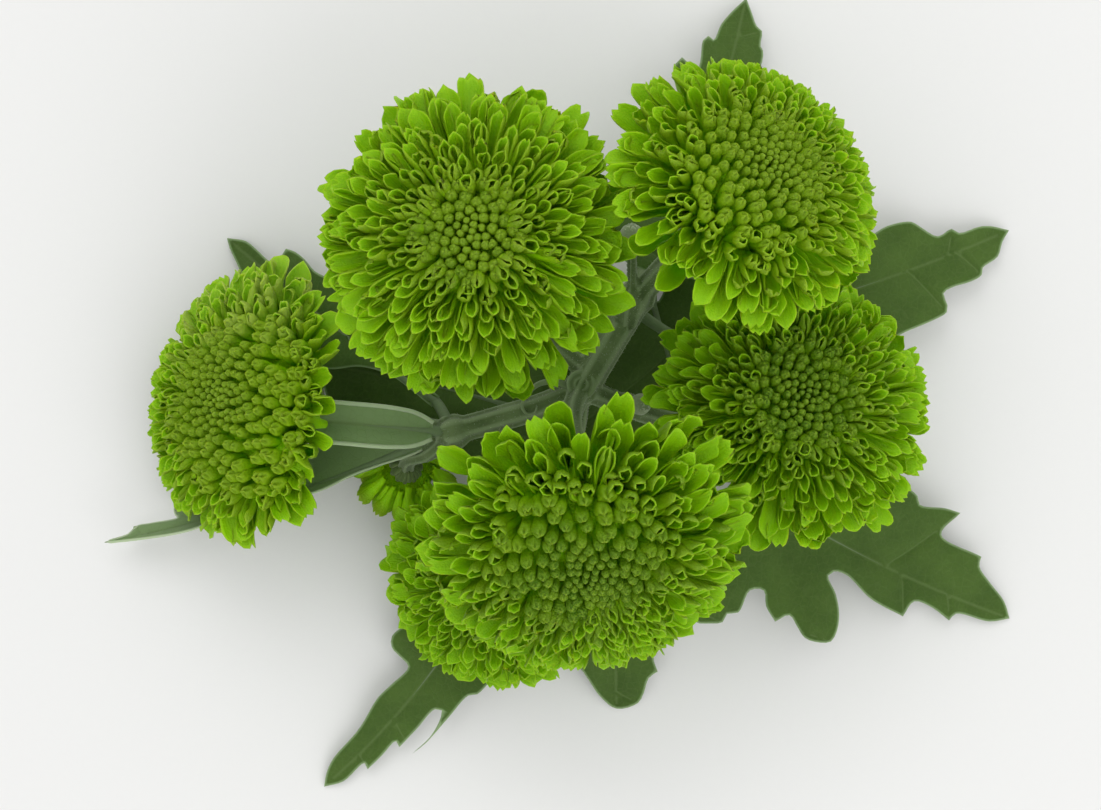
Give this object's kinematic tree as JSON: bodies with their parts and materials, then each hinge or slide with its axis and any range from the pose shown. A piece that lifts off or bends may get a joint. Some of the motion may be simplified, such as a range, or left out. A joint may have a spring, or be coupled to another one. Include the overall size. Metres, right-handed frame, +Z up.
{
  "type": "pompon chrysanthemum",
  "caption": "Cut spray of green pompon chrysanthemum blooms on one branching stem with lobed leaves and small buds, lying on a surface.",
  "frame": {"origin": "on the surface the spray lies on, under the middle of its bounding box", "axes": "+X along the spray's longest extent, +Z up out of the surface through the faces of the upper blooms, +Y across"},
  "size_m": [0.1458, 0.1274, 0.0638],
  "materials": {
    "florets": "soft satin petals, lime green, paler at the edges",
    "bracts": "matte, short hairs, pale dry edges",
    "stem": "matte grey-green, ridged, woolly hairs",
    "leaves": "matte grey-green with pale veins and edges",
    "buds": "matte, woolly"
  },
  "bodies": {
    "root": {"stem": "stem", "bract_cup_a": "bracts", "bract_cup_b": "bracts", "bract_cup_c": "bracts", "bract_cup_d": "bracts", "bract_cup_e": "bracts", "bract_cup_f": "bracts", "bract_cup_g": "bracts", "bloom_a": "florets", "bloom_b": "florets", "bloom_c": "florets", "bloom_d": "florets", "bloom_e": "florets", "bloom_f": "florets", "bloom_g": "florets", "leaf_top": "leaves", "leaf_right": "leaves", "leaf_low_right": "leaves", "leaf_bottom": "leaves", "leaf_low_left": "leaves", "leaf_left": "leaves", "leaf_top_left": "leaves", "leaf_under_left": "leaves", "leaf_under_right": "leaves", "leaf_channelled": "leaves", "bud_upper": "buds", "bud_lower": "buds"}
  },
  "joints": []
}
